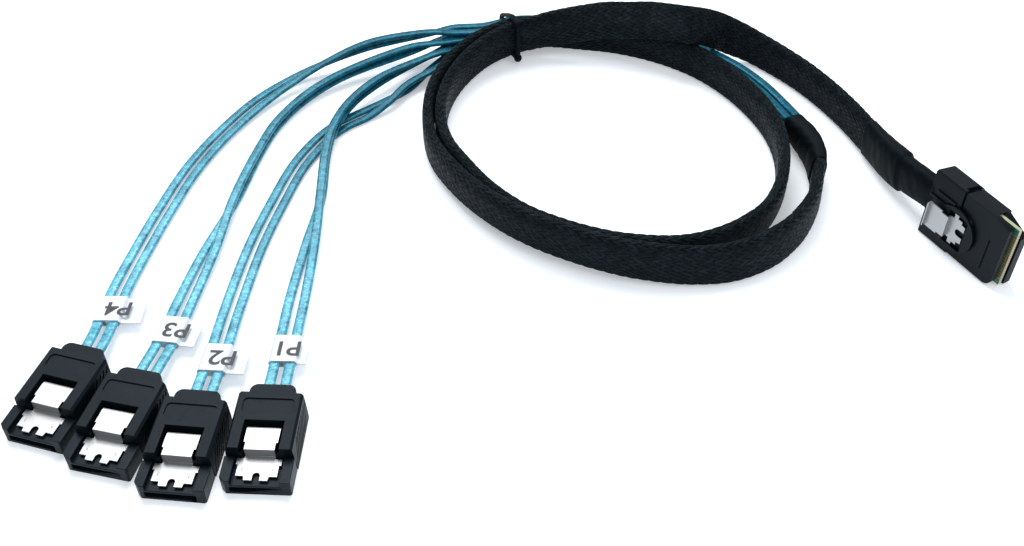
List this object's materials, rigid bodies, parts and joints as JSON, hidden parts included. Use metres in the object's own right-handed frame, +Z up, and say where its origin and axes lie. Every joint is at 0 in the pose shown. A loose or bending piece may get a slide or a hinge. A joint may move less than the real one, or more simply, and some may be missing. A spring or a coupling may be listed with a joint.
{
  "type": "mini sas breakout cable",
  "caption": "Flat braided cable from one internal mini SAS plug, breaking out into flat blue leads with latched SATA plugs, coiled and tied on a table.",
  "frame": {"origin": "middle of the box round the five plugs, on the table that the whole cable lies on", "axes": "+X from the SATA plugs towards the mini SAS plug, +Y away from the SATA plugs' mating faces, towards the far side of the coil, +Z up from the table"},
  "size_m": [0.2274, 0.1672, 0.0206],
  "materials": {
    "plug_plastic": "satin black with a blue sheen",
    "overmould": "matte black",
    "latch_steel": "bright rolled spring steel",
    "contact_gold": "gold plated",
    "card": "green solder mask with plated fingers",
    "shrink_tube": "dull black heat-shrunk tube",
    "braid": "black woven sleeve",
    "tie_band": "dull black",
    "lead_jacket": "clear blue jacket over crinkled foil",
    "label": "white paper-like film"
  },
  "bodies": {
    "root": {"sata_housing_P4": "plug_plastic", "sata_overmould_P4": "overmould", "contact_P4_1": "contact_gold", "contact_P4_2": "contact_gold", "contact_P4_3": "contact_gold", "contact_P4_4": "contact_gold", "contact_P4_5": "contact_gold", "contact_P4_6": "contact_gold", "contact_P4_7": "contact_gold", "lead_P4_a": "lead_jacket", "lead_P4_b": "lead_jacket", "label_P4": "label", "sata_housing_P3": "plug_plastic", "sata_overmould_P3": "overmould", "contact_P3_1": "contact_gold", "contact_P3_2": "contact_gold", "contact_P3_3": "contact_gold", "contact_P3_4": "contact_gold", "contact_P3_5": "contact_gold", "contact_P3_6": "contact_gold", "contact_P3_7": "contact_gold", "lead_P3_a": "lead_jacket", "lead_P3_b": "lead_jacket", "label_P3": "label", "sata_housing_P2": "plug_plastic", "sata_overmould_P2": "overmould", "contact_P2_1": "contact_gold", "contact_P2_2": "contact_gold", "contact_P2_3": "contact_gold", "contact_P2_4": "contact_gold", "contact_P2_5": "contact_gold", "contact_P2_6": "contact_gold", "contact_P2_7": "contact_gold", "lead_P2_a": "lead_jacket", "lead_P2_b": "lead_jacket", "label_P2": "label", "sata_housing_P1": "plug_plastic", "sata_overmould_P1": "overmould", "contact_P1_1": "contact_gold", "contact_P1_2": "contact_gold", "contact_P1_3": "contact_gold", "contact_P1_4": "contact_gold", "contact_P1_5": "contact_gold", "contact_P1_6": "contact_gold", "contact_P1_7": "contact_gold", "lead_P1_a": "lead_jacket", "lead_P1_b": "lead_jacket", "label_P1": "label", "sas_back_cover": "plug_plastic", "sas_front_shell": "plug_plastic", "paddle_card": "card", "sas_boot": "shrink_tube", "braided_sleeve": "braid", "breakout_boot": "shrink_tube", "bundle_tie": "tie_band"},
    "latch_P4": {"sata_latch_P4": "latch_steel"},
    "latch_P3": {"sata_latch_P3": "latch_steel"},
    "latch_P2": {"sata_latch_P2": "latch_steel"},
    "latch_P1": {"sata_latch_P1": "latch_steel"},
    "latch_sas": {"sas_latch": "latch_steel"}
  },
  "joints": [
    {"name": "press_P4", "type": "hinge", "parent": "root", "child": "latch_P4", "pos_m": [-0.10551, -0.02312, 0.0034], "axis": [-0.9613, 0.2756, 0], "range_deg": [0, 5], "stiffness_Nm_per_rad": 0.05},
    {"name": "press_P3", "type": "hinge", "parent": "root", "child": "latch_P3", "pos_m": [-0.09057, -0.03025, 0.0034], "axis": [-0.9744, 0.225, 0], "range_deg": [0, 5], "stiffness_Nm_per_rad": 0.05},
    {"name": "press_P2", "type": "hinge", "parent": "root", "child": "latch_P2", "pos_m": [-0.07464, -0.03634, 0.0034], "axis": [-0.9954, 0.0958, 0], "range_deg": [0, 5], "stiffness_Nm_per_rad": 0.05},
    {"name": "press_P1", "type": "hinge", "parent": "root", "child": "latch_P1", "pos_m": [-0.05781, -0.03483, 0.0034], "axis": [-0.999, 0.0436, 0], "range_deg": [0, 5], "stiffness_Nm_per_rad": 0.05},
    {"name": "press_sas", "type": "hinge", "parent": "root", "child": "latch_sas", "pos_m": [0.10008, 0.03124, 0.0085], "axis": [0, 0, -1], "range_deg": [0, 5], "stiffness_Nm_per_rad": 0.08}
  ]
}
